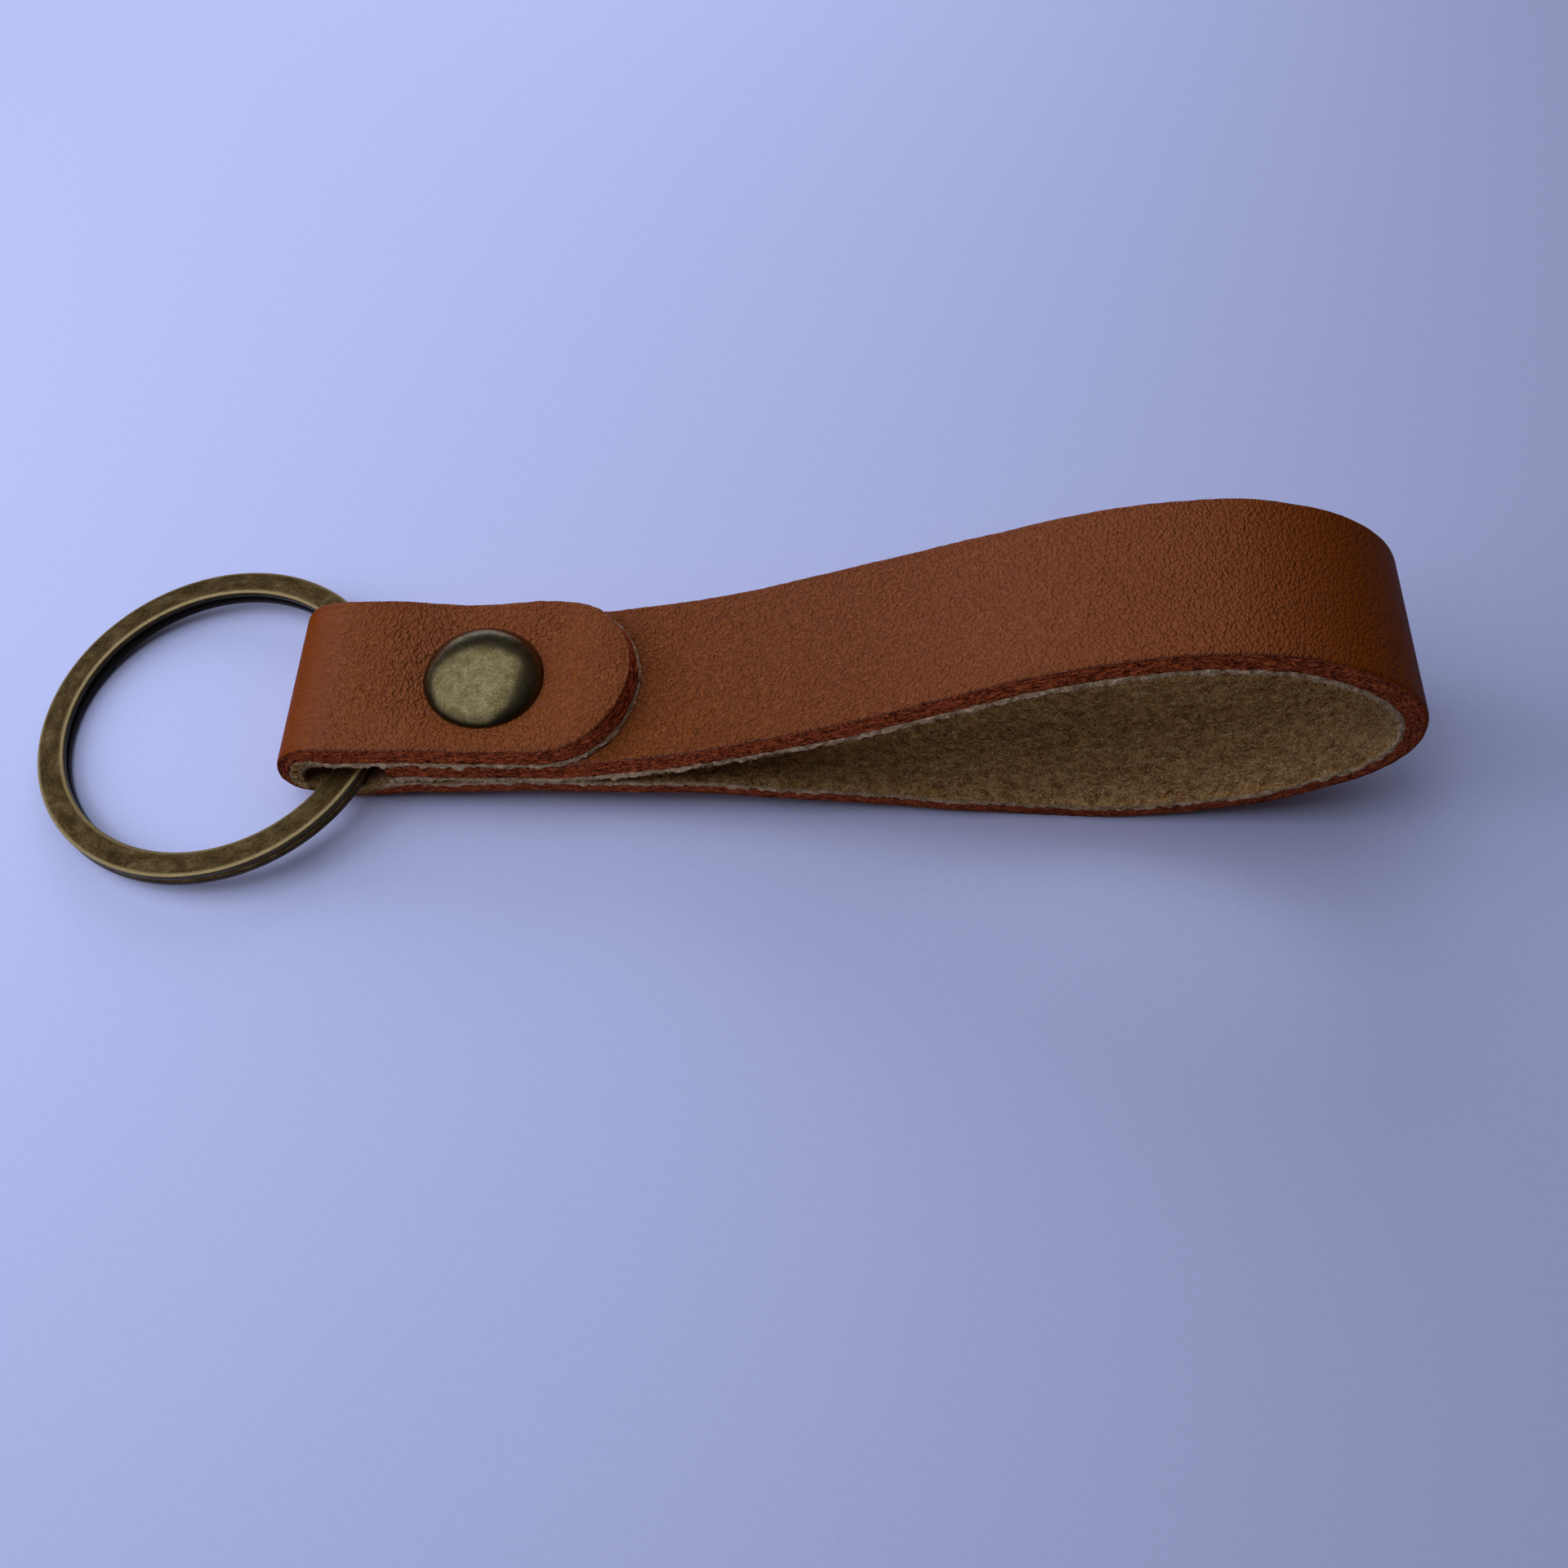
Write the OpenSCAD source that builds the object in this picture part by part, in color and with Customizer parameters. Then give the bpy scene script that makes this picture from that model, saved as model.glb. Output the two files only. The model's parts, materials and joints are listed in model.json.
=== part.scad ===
// Leather finger-loop keychain with a split ring, in millimetres.
// One laminated strap folds round a split ring at one end, opens into a finger loop at
// the other, and is closed by a double-cap rivet through all three of its layers.
// Origin: rivet axis, on the flat underside of the back cap. +X runs to the finger loop,
// +Z is up, and Y runs across the strap.

/* [Strap] */
// Width of the strap
strap_w = 17.2; // [16:0.2:20]
// Thickness of the orange grain face
grain_t = 0.2; // [0.15:0.05:0.3]
// Thickness of the pale suede lining
suede_t = 0.5; // [0.3:0.1:0.7]
// Thickness of the whole laminate
strap_t = 2.5; // [2.3:0.1:2.5]
// How far the tab's round end reaches past the rivet
tab_reach = 14.2; // [12:0.2:16]
// How far the square end reaches towards the ring
square_end_reach = 8.6; // [7:0.1:8.7]

/* [Finger loop] */
// Highest point of the loop's grain face above the table
loop_top = 28.2; // [26:0.2:32]
// Furthest point of the loop from the rivet
loop_end = 85; // [84:1:92]

/* [Ring fold] */
// How far the outside of the fold lies from the rivet
fold_reach = 19.2; // [19.2:0.1:20]
// Outside radius of the fold's lower corner
fold_low_r = 3; // [2.8:0.1:3]
// Outside radius of the fold's upper corner
fold_high_r = 4.6; // [4.2:0.1:4.6]

/* [Split ring] */
// Outside diameter of the ring
ring_od = 35; // [34:0.5:35]
// Width of the flat wire, measured across the ring
wire_w = 2.6; // [2.2:0.1:2.8]
// Thickness of the flat wire
wire_t = 0.95; // [0.8:0.05:0.95]
// Gap between the two turns of wire
turn_gap = 0.1; // [0.06:0.02:0.1]
// Slope of the ring where it rests on the table and inside the fold
ring_tilt = 6.4; // [6.3:0.1:6.6]
// Angle over which the wire climbs from the lower turn to the upper turn
ramp_angle = 16; // [12:1:24]

/* [Rivet] */
// Diameter of the domed caps
cap_d = 11.1; // [10:0.1:12]
// Height of the top cap's dome above the leather
dome_h = 2.3; // [1.8:0.1:2.6]
// Height of the flat-bottomed back cap
back_cap_h = 2.2; // [2:0.1:2.3]
// Thickness of the pressed metal shells
shell_t = 0.35; // [0.3:0.05:0.4]
// Diameter of the stem
stem_d = 3; // [2.6:0.1:3.2]
// Diameter of the hole punched through the leather
punch_d = 4.2; // [4.1:0.1:4.4]

/* [Hidden] */
$fn = 64;

play = 0.05;                         // gap left between layers that lie on each other
seat = 6;                            // half length of the flat stretch under the caps
contact_x = 57;                      // where the loop's underside meets the table
lift = 0.1;                          // height of the grain face above the table there
hump_z = 2.85;                       // height of the underside just past the rivet
fold_bottom = 0;                     // height of the fold's underside above the table
steps = 14;                          // straight facets in each curved stretch

stack_2 = 2 * strap_t + play;        // underside of the bottom layer to top of the middle one
stack_3 = stack_2 + strap_t + play;  // the same to the top of the tab
arm_z = back_cap_h + stack_2;        // top of the middle layer at the rivet
tab_z = back_cap_h + stack_3;        // top of the tab at the rivet
fold_x = -fold_reach + fold_low_r;   // where the fold's lower corner meets the flat
fold_top_x = -fold_reach + fold_high_r;
fold_low_z = fold_bottom + fold_low_r;
fold_high_z = tab_z - fold_high_r;

cap_lip = 1.2;                       // width of the caps' turned-in rims
back_flat_r = 3.4;                   // radius of the back cap's flat
flange_r = 4.7;                      // radius of the two flanges inside the caps
flange_z = shell_t + 0.02;           // height of the flanges above the leather
tube_t = 0.4;                        // wall of the socket tube
socket_l = 5.5;                      // length of the socket tube below its flange
stem_rise = 1.3;                     // height of the stem's tip above the tab
tip_l = 0.8;                         // length of the stem's tapered tip

ring_x = -27.1;                      // centre of the ring
ring_y = -1.6;
seam_angle = 8;                      // where the low turn's free end lies, inside the fold
end_gap = 0.6;                       // angle left clear at each free end of the wire
wire_chamfer = 0.2;                  // bevel along the wire's edges

// Points along a cubic curve from a to d, leaving out the last one.
function cubic(a, b, c, d, n = steps) = [for (i = [0 : n - 1])
    let (t = i / n, u = 1 - t)
    u * u * u * a + 3 * u * u * t * b + 3 * u * t * t * c + t * t * t * d];
// Points along an arc about centre c, leaving out the last one.
function arc(c, r, from, to, n = steps) = [for (i = [0 : n - 1])
    let (a = from + (to - from) * i / n)
    c + r * [cos(a), sin(a)]];
// Unit vector along a polyline at point i.
function heading(p, i) =
    let (v = p[min(i + 1, len(p) - 1)] - p[max(i - 1, 0)])
    v / norm(v);
// A polyline moved sideways by d, to the left of its direction for a positive d.
function shifted(p, d) = [for (i = [0 : len(p) - 1])
    let (h = heading(p, i))
    p[i] + d * [-h[1], h[0]]];
function reversed(p) = [for (i = [len(p) - 1 : -1 : 0]) p[i]];

// The strap's grain face, seen from the side as [x, z], in five stretches. It runs from the
// round end of the tab, round the fold and the finger loop, to the square end, with the
// suede always to the left of its direction.
fold_run = concat(
    arc([fold_top_x, fold_high_z], fold_high_r, 90, 180),
    arc([fold_x, fold_low_z], fold_low_r, 180, 270));
low_run = concat(
    cubic([fold_x, fold_bottom], [-9.6, fold_bottom], [-8.4, back_cap_h], [-seat, back_cap_h]),
    cubic([-seat, back_cap_h], [-2, back_cap_h], [2, back_cap_h], [seat, back_cap_h], 2),
    cubic([seat, back_cap_h], [11, back_cap_h], [13, hump_z], [19, hump_z]),
    cubic([19, hump_z], [26, hump_z], [45, lift], [contact_x, lift]));
loop_run = concat(
    cubic([contact_x, lift], [70, lift], [loop_end, 7], [loop_end, 15.5], 2 * steps),
    cubic([loop_end, 15.5], [loop_end, 23], [77, loop_top], [67.5, loop_top], 2 * steps));
arm_run = concat(
    cubic([67.5, loop_top], [49, loop_top], [38, arm_z + 7.9], [16, arm_z + 2.5], 2 * steps),
    cubic([16, arm_z + 2.5], [12, arm_z + 1.5], [9, arm_z], [seat, arm_z]),
    cubic([seat, arm_z], [2, arm_z], [-2, arm_z], [-seat, arm_z], 2));
end_run = cubic([-seat, arm_z], [-seat - 1, arm_z], [-square_end_reach + 0.7, arm_z - 0.06],
                [-square_end_reach - 0.4, arm_z - 0.24], 5);
// The tab lies on the arm as far as x = reach, then leaves it to run on to the fold.
function tab_line(reach) = [for (p = shifted(arm_run, -strap_t - play)) if (p[0] < reach) p];
tab_run = concat(tab_line(tab_reach + 3),
    cubic([-seat, tab_z], [-9, tab_z], [-11, tab_z], [fold_top_x, tab_z], 4));

// Side view of one ply between depths a and b under the grain face, along one run.
module ply_profile(run, a, b) {
    polygon(concat(shifted(run, a), reversed(shifted(run, b))));
}

// One ply of the whole strap, with the tab's end rounded and the rivet hole punched.
module ply(a, b) {
    difference() {
        rotate([90, 0, 0])
            linear_extrude(strap_w, center = true)
                ply_profile(concat(tab_run, fold_run, low_run, loop_run, arm_run, end_run), a, b);
        difference() {
            rotate([90, 0, 0])
                linear_extrude(strap_w + 2, center = true)
                    ply_profile(tab_line(tab_reach + 8), -1, strap_t + play / 2);
            translate([tab_reach - strap_w / 2, 0, 0])
                cylinder(d = strap_w, h = 4 * tab_z, center = true);
            translate([-strap_w, -strap_w, 0])
                cube([strap_w + tab_reach - strap_w / 2, 2 * strap_w, 2 * tab_z]);
        }
        cylinder(d = punch_d, h = 4 * tab_z, center = true);
    }
}

module strap_grain_face() {
    color([0.62, 0.27, 0.10]) ply(0, grain_t);
}

module strap_core() {
    color([0.34, 0.12, 0.06]) ply(grain_t, strap_t - suede_t);
}

module strap_suede_lining() {
    color([0.66, 0.56, 0.40]) ply(strap_t - suede_t, strap_t);
}

// Outline of a dome with its rim at radius r and its crown at height h, flat out to radius f.
function dome(r, h, f) = concat([[0, h]], [for (i = [f > 0 ? 0 : 1 : steps])
    let (a = 90 * i / steps)
    [f + (r - f) * sin(a), h * cos(a)]]);

// A pressed cap standing on z = 0, with its rim turned in to grip a flange.
module cap_shell(h, f) {
    r = cap_d / 2;
    rotate_extrude() {
        polygon(concat(dome(r, h, f), reversed(dome(r - shell_t, h - shell_t, f))));
        intersection() {
            polygon(concat([[0, 0]], dome(r, h, f)));
            translate([r - cap_lip, 0])
                square([cap_lip, shell_t]);
        }
    }
}

module rivet_top_cap() {
    color([0.42, 0.36, 0.22])
        translate([0, 0, tab_z])
            cap_shell(dome_h, 0);
}

module rivet_back_cap() {
    color([0.42, 0.36, 0.22])
        translate([0, 0, back_cap_h])
            mirror([0, 0, 1])
                cap_shell(back_cap_h, back_flat_r);
}

// The flanged tube held in the top cap, reaching down through the leather.
module rivet_socket() {
    color([0.55, 0.48, 0.32])
        translate([0, 0, tab_z + flange_z])
            difference() {
                union() {
                    cylinder(r = flange_r, h = shell_t);
                    translate([0, 0, -socket_l])
                        cylinder(d = stem_d + 2 * (play + tube_t), h = socket_l + shell_t / 2);
                }
                cylinder(d = stem_d + 2 * play, h = 4 * socket_l, center = true);
            }
}

// The flanged stem held in the back cap, pressed up through the socket.
module rivet_post() {
    top = tab_z + stem_rise;
    foot = back_cap_h - flange_z - shell_t;
    color([0.55, 0.48, 0.32])
        rotate_extrude()
            polygon([[0, foot], [flange_r, foot], [flange_r, foot + shell_t],
                     [stem_d / 2, foot + shell_t], [stem_d / 2, top - tip_l],
                     [stem_d / 2 - tip_l / 2, top], [0, top]]);
}

// Flat wire wound two turns: low turn, ramp, high turn. Each section is the wire's
// chamfered rectangle, carried round and lifted up the ramp.
module split_ring() {
    turn_steps = 90;
    wire_section = let (r = ring_od / 2, c = wire_chamfer)
        [[r - wire_w + c, 0], [r - c, 0], [r, c], [r, wire_t - c],
         [r - c, wire_t], [r - wire_w + c, wire_t], [r - wire_w, wire_t - c], [r - wire_w, c]];
    last = 720 - ramp_angle - end_gap;
    angles = concat(
        [for (i = [0 : turn_steps]) end_gap + (360 - ramp_angle - end_gap) * i / turn_steps],
        [for (i = [1 : 7]) 360 - ramp_angle * (1 - i / 8)],
        [for (i = [0 : turn_steps]) 360 + (last - 360) * i / turn_steps]);
    n = len(wire_section);
    climb = wire_t + turn_gap;
    points = [for (a = angles)
        let (s = min(1, max(0, (a - 360 + ramp_angle) / ramp_angle)), z = climb * s)
        for (p = wire_section) [p[0] * cos(a), p[0] * sin(a), p[1] + z]];
    sides = [for (i = [0 : len(angles) - 2]) for (j = [0 : n - 1])
        let (k = (j + 1) % n)
        [i * n + j, (i + 1) * n + j, (i + 1) * n + k, i * n + k]];
    ends = [[for (j = [0 : n - 1]) j],
            [for (j = [n - 1 : -1 : 0]) (len(angles) - 1) * n + j]];
    color([0.45, 0.38, 0.22])
        translate([ring_x, ring_y, ring_od / 2 * sin(ring_tilt)])
            rotate([0, -ring_tilt, 0])
                rotate([0, 0, seam_angle])
                    polyhedron(points, concat(sides, ends), convexity = 6);
}

strap_grain_face();
strap_core();
strap_suede_lining();
rivet_top_cap();
rivet_socket();
rivet_post();
rivet_back_cap();
split_ring();
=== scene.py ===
import json
import math

import bpy
import numpy as np
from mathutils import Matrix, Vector


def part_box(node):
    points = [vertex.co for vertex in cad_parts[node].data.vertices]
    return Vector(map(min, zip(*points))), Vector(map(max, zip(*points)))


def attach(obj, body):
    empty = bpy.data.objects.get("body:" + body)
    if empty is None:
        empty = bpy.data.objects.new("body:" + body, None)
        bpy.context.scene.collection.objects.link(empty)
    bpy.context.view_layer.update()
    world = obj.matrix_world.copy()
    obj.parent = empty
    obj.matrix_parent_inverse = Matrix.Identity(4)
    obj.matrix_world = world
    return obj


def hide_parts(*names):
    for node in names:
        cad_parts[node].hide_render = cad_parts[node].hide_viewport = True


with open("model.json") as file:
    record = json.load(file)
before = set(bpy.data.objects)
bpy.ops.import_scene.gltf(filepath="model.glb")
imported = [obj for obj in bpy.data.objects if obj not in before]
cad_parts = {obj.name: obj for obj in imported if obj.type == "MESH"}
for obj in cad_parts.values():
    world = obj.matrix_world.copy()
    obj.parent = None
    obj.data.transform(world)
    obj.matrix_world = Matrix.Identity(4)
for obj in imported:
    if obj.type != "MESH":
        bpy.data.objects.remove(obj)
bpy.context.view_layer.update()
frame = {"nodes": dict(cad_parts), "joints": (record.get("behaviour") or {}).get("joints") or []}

MM = 0.001


def box_mm(node):
    """Lowest and highest corner of a CAD node, in millimetres."""
    low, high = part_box(node)
    return np.array(low) / MM, np.array(high) / MM


# ---------------------------------------------------------------- sizes from the frame
face_low, face_high = box_mm("strap_grain_face")
core_high = box_mm("strap_core")[1]
lining_high = box_mm("strap_suede_lining")[1]
cap_low, cap_high = box_mm("rivet_top_cap")
back_high = box_mm("rivet_back_cap")[1]
ring_low, ring_high = box_mm("split_ring")
spin = frame["joints"][0]

STRAP_W = face_high[1] - face_low[1]
LOOP_END = face_high[0]
LOOP_TOP = face_high[2]
LIFT = face_low[2]
FOLD_REACH = -face_low[0]
TAB_Z = cap_low[2]
BACK_Z = back_high[2]
PLAY = 0.05                                      # gap between layers that lie together
STRAP_T = (TAB_Z - BACK_Z - 2 * PLAY) / 3        # thickness of the laminate
GRAIN_T = face_high[2] - core_high[2]
LINING_D = face_high[2] - lining_high[2]         # depth at which the suede starts
CAP_R = (cap_high[0] - cap_low[0]) / 2
DOME_H = cap_high[2] - cap_low[2]
RING_R = (ring_high[1] - ring_low[1]) / 2
RING_AT = np.array(spin["pos_m"]) / MM
RING_AXIS = np.array(spin["axis"])

# ---------------------------------------------------------------- sizes chosen here
SEAT = 6.0            # half length of the flat stretch under the caps
TAB_REACH = 14.2      # how far the tab's round end lies past the rivet
SQUARE_REACH = 8.6    # how far the square end reaches towards the ring
FOLD_LOW_R = 3.0      # outside radii of the fold's two corners
FOLD_HIGH_R = 4.6
CONTACT_X = 57.0      # where the loop's underside meets the table
HUMP_Z = 2.85         # height of the underside just past the rivet
APEX_X = 67.5         # highest point of the loop
STEP = 0.22           # spacing of the strap's cross-sections
WIRE_W = 2.6          # split ring's flat wire
WIRE_T = 0.95
TURN_GAP = 0.1
RAMP = math.radians(16)
SEAM = math.radians(8)
CUT_LEAN = 0.4        # how much wider the strap is on its suede side, each edge
CAP_SINK = 0.5        # how far the top cap's rim sits down in its dimple
CAP_SPREAD = 0.16     # how far pressing has spread that rim
SHELL_T = 0.35        # sheet thickness of the caps
RIM_ROLL = 1.1        # how far a cap's rim rolls inwards

rng = np.random.default_rng(7)


# ---------------------------------------------------------------- curves
def cubic(a, b, c, d, n=60):
    """Points along a cubic curve from a to d, leaving out the last."""
    t = np.linspace(0, 1, n, endpoint=False)[:, None]
    u = 1 - t
    a, b, c, d = (np.array(p, float) for p in (a, b, c, d))
    return u ** 3 * a + 3 * u * u * t * b + 3 * u * t * t * c + t ** 3 * d


def arc(centre, r, start, end, n=40):
    """Points along an arc, leaving out the last; angles in degrees."""
    a = np.radians(np.linspace(start, end, n, endpoint=False))
    return np.array(centre) + r * np.stack([np.cos(a), np.sin(a)], 1)


def left_of(points):
    """Unit vectors to the left of a polyline's direction."""
    way = np.gradient(points, axis=0)
    way /= np.linalg.norm(way, axis=1)[:, None]
    return np.stack([-way[:, 1], way[:, 0]], 1)


def even(points, step):
    """The polyline resampled at an even spacing, lightly smoothed."""
    s = np.concatenate([[0], np.cumsum(np.linalg.norm(np.diff(points, axis=0), axis=1))])
    grid = np.linspace(0, s[-1], int(s[-1] / step) + 1)
    out = np.stack([np.interp(grid, s, points[:, i]) for i in (0, 1)], 1)
    for _ in range(6):
        out[1:-1] = (out[:-2] + 2 * out[1:-1] + out[2:]) / 4
    return out


def smooth_step(x, low, high):
    t = np.clip((np.asarray(x, float) - low) / (high - low), 0, 1)
    return t * t * (3 - 2 * t)


def strap_route():
    """The grain face's side view as points [x, z], from the tab's round end to the square
    end, with the inside of the strap to the left of its direction."""
    arm_z = BACK_Z + 2 * STRAP_T + PLAY
    fold_bottom = 0
    low_x, high_x = FOLD_LOW_R - FOLD_REACH, FOLD_HIGH_R - FOLD_REACH
    arm = np.concatenate([
        cubic([APEX_X, LOOP_TOP], [49, LOOP_TOP], [38, arm_z + 7.9], [16, arm_z + 2.5], 160),
        cubic([16, arm_z + 2.5], [12, arm_z + 1.5], [9, arm_z], [SEAT, arm_z]),
        cubic([SEAT, arm_z], [2, arm_z], [-2, arm_z], [-SEAT, arm_z])])
    tab = arm - left_of(arm) * (STRAP_T + PLAY)
    tab = tab[tab[:, 0] < TAB_REACH]
    return np.concatenate([
        tab,
        cubic([-SEAT, TAB_Z], [-8.5, TAB_Z], [-11, TAB_Z], [high_x, TAB_Z]),
        arc([high_x, TAB_Z - FOLD_HIGH_R], FOLD_HIGH_R, 90, 180),
        arc([low_x, fold_bottom + FOLD_LOW_R], FOLD_LOW_R, 180, 270),
        cubic([low_x, fold_bottom], [-9.6, fold_bottom], [-8.4, BACK_Z], [-SEAT, BACK_Z]),
        cubic([-SEAT, BACK_Z], [-2, BACK_Z], [2, BACK_Z], [SEAT, BACK_Z]),
        cubic([SEAT, BACK_Z], [11, BACK_Z], [13, HUMP_Z], [19, HUMP_Z]),
        cubic([19, HUMP_Z], [26, HUMP_Z], [45, LIFT], [CONTACT_X, LIFT]),
        cubic([CONTACT_X, LIFT], [70, LIFT], [LOOP_END, 7], [LOOP_END, 15.5], 120),
        cubic([LOOP_END, 15.5], [LOOP_END, 23], [77, LOOP_TOP], [APEX_X, LOOP_TOP], 120),
        arm,
        cubic([-SEAT, arm_z], [-SEAT - 1, arm_z], [-SQUARE_REACH + 0.7, arm_z - 0.06],
              [-SQUARE_REACH - 0.4, arm_z - 0.24])])


# ---------------------------------------------------------------- the strap's rows
route = even(strap_route(), STEP)
inward = left_of(route)
along = np.arange(len(route)) * STEP
half_w = STRAP_W / 2
# The round end's rows bunch up towards its tip.
tip = half_w * (1 - np.cos(np.radians(np.linspace(2, 90, 44))))
row_s = np.concatenate([tip, along[along > half_w + STEP / 2]])
row_at = np.stack([np.interp(row_s, along, route[:, i]) for i in (0, 1)], 1)
row_in = np.stack([np.interp(row_s, along, inward[:, i]) for i in (0, 1)], 1)
row_in /= np.linalg.norm(row_in, axis=1)[:, None]
row_hw = np.where(row_s < half_w, np.sqrt(np.maximum(0, half_w ** 2 - (half_w - row_s) ** 2)),
                  half_w)
fold_s = row_s[np.argmin(row_at[:, 0])]          # where the fold turns
is_tab = row_s < fold_s


# How the strap's near and far edges depart from the plain curve: x, then the rise.
UPPER_NEAR = ((-16, -13, -10, -6, -1, 3.4, 6.4, 9, 11.4, 14, 24, 29, 36, 45, 68, 75, 80, 85),
              (-0.15, -0.4, -0.2, 0, 0.1, 0.3, 0.45, 0.3, 0, -0.2, -0.25, 0, -0.2, 0.05, 0.1,
               -0.2, -0.25, 0))
UPPER_FAR = ((-15, -12, -8.4, -5, -2, 1.2, 4.5, 7.6, 10.6, 12.3, 16, 28, 32, 36, 40, 44, 48,
              54, 58, 64, 68, 79, 85),
             (-0.5, -0.2, -0.05, -0.3, -0.45, -0.1, 0.4, 0.5, 0.65, 0.4, 0.05, 0, -0.15, -0.3,
              -0.65, -0.95, -1.15, -1.2, -1.15, -0.95, -0.8, -0.7, -0.4))
LOWER_NEAR = ((-18, -14, -11, -9, -4.3, -1, 2, 5.3, 8.5, 12, 17, 34, 48, 57, 85),
              (0.6, 0.6, 0.3, -0.1, -0.5, -0.1, 0.15, 0.44, 0.44, 0.2, 0, 0.15, 0.15, 0, 0))


def ripple(s, wave, seed):
    """Smooth noise along the strap, about -1 to 1, with bumps about wave mm long."""
    r = np.random.default_rng(seed)
    knots = r.uniform(-1, 1, int(row_s[-1] / wave) + 4)
    x = np.asarray(s, float) / wave
    i = np.floor(x).astype(int)
    t = x - i
    t = t * t * (3 - 2 * t)
    return knots[i] * (1 - t) + knots[i + 1] * t


def place(rows, y, d, out=0.0):
    """Points of the strap: y across and depth d under the grain face, on each row, moved
    outwards over the cut edge by out. The arrays hold one row of values for each of rows."""
    s, hw = row_s[rows][:, None], row_hw[rows][:, None]
    at, inn = row_at[rows][:, None], row_in[rows][:, None]
    # Outwards means away from the middle of the round end, or straight to the side.
    back = np.maximum(0, half_w - s)
    reach = np.maximum(1e-6, np.hypot(back, y))
    rim = smooth_step(np.where(s < half_w, reach / half_w, np.abs(y) / hw), 0.9, 0.97)
    # The cut edges wander slightly and lean out towards the suede.
    wander = 0.07 * ripple(s, 5.0, 3) + 0.03 * ripple(s, 0.6, 4)
    lean_out = CUT_LEAN * (d / STRAP_T - 0.35) * (0.4 + 0.6 * np.abs(y) / reach)
    out = out + rim * (wander + lean_out)
    y = y + out * y / reach
    ahead = -out * back / reach
    x = at[..., 0] + inn[..., 0] * d + inn[..., 1] * ahead
    z = at[..., 1] + inn[..., 1] * d - inn[..., 0] * ahead
    # The caps press a dimple into the tab, and squeeze it there.
    beyond = np.maximum(0, np.hypot(x, y) - CAP_R)
    dimple = 0.32 * np.exp(-(beyond / 1.2) ** 2) + 0.25 * np.exp(-(beyond / 3.0) ** 2)
    sink = np.where(is_tab[rows][:, None] & (x > -12), dimple * np.clip(1 - d / STRAP_T, 0, 1), 0)
    # Handling has left the near and far edges a little above or below the plain curve.
    upper = smooth_step(at[..., 1], 3.2, 6.5)
    upper = np.where(x > 20, smooth_step(at[..., 1], 5, 20), upper)
    lean = 0.5 + y / STRAP_W
    edge = smooth_step(np.abs(y), 4, half_w) * (np.sign(y) + 1) / 2
    near_edge = smooth_step(np.abs(y), 4, half_w) * (1 - np.sign(y)) / 2
    free = smooth_step(np.abs(x), 6, 13)
    far = free * lean + (1 - free) * edge
    near = free * (1 - lean) + (1 - free) * near_edge
    z = z + upper * (near * np.interp(x, *UPPER_NEAR) + far * np.interp(x, *UPPER_FAR))
    z = z + (1 - upper) * near * np.interp(x, *LOWER_NEAR) - sink
    # Inside the ring the lower layer's near edge curls up, showing its suede, and it lies
    # flatter where the ring presses on it.
    curl = smooth_step(-y, 5.0, half_w) * np.interp(x, (-18, -15, -14, -13), (1.0, 0.8, 0.12, 0))
    z = z + (1 - smooth_step(at[..., 1], 2.0, 4.5)) * curl
    return np.stack([x, y, z], -1)


# ---------------------------------------------------------------- mesh helpers
def make_mesh(name, points, faces, attributes=None):
    """A mesh object from points in millimetres. attributes maps a name to one value or
    vector for each point."""
    mesh = bpy.data.meshes.new(name)
    mesh.from_pydata((np.asarray(points) * MM).tolist(), [], faces)
    mesh.update()
    mesh.shade_smooth()
    for key, values in (attributes or {}).items():
        values = np.asarray(values, np.float32)
        kind, field = ("FLOAT_VECTOR", "vector") if values.ndim == 2 else ("FLOAT", "value")
        layer = mesh.attributes.new(key, kind, "POINT")
        layer.data.foreach_set(field, values.ravel())
    piece = bpy.data.objects.new(name, mesh)
    bpy.context.scene.collection.objects.link(piece)
    return piece


def tube_faces(rows, cols):
    """Quads joining rows of cols points each into a closed tube, with flat ends."""
    i = np.arange(rows - 1)[:, None] * cols
    j = np.arange(cols)[None, :]
    k = (j + 1) % cols
    quads = np.stack([i + j, i + k, i + cols + k, i + cols + j], -1).reshape(-1, 4).tolist()
    quads.append(list(range(cols))[::-1])
    quads.append([(rows - 1) * cols + c for c in range(cols)])
    return quads


def strap_piece(name, section, relief=None):
    """A closed piece of the strap. section(hw) gives the cross-section's y and depth for
    each half width; relief(s, y, d) gives extra movement outwards and in depth."""
    rows = np.arange(len(row_s))
    y, d = section(row_hw[:, None])
    s = row_s[:, None] + 0 * y
    attribute = np.stack([s, y, d + 0 * y], -1)
    out = 0.0
    if relief:
        out, rise = relief(s, y, d)
        d = d + rise
    points = place(rows, y, d, out)
    edge = np.clip(row_hw[:, None] - np.abs(y), 0, None) + 0.7 * squeeze[:, None]
    return make_mesh(name, points.reshape(-1, 3), tube_faces(*y.shape), {
        "strap": attribute.reshape(-1, 3), "edge": edge.ravel()})


# ---------------------------------------------------------------- noise on the strap
def lattice(seed, size=256):
    return np.random.default_rng(seed).uniform(-1, 1, (size, size))


def noise2(u, v, grid):
    """Smooth noise over a plane, one bump for each unit."""
    n = len(grid)
    i, j = np.floor(u).astype(int), np.floor(v).astype(int)
    a, b = u - i, v - j
    a, b = a * a * (3 - 2 * a), b * b * (3 - 2 * b)
    i, j = i % n, j % n
    p, q = (i + 1) % n, (j + 1) % n
    return ((grid[i, j] * (1 - a) + grid[p, j] * a) * (1 - b)
            + (grid[i, q] * (1 - a) + grid[p, q] * a) * b)


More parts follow.
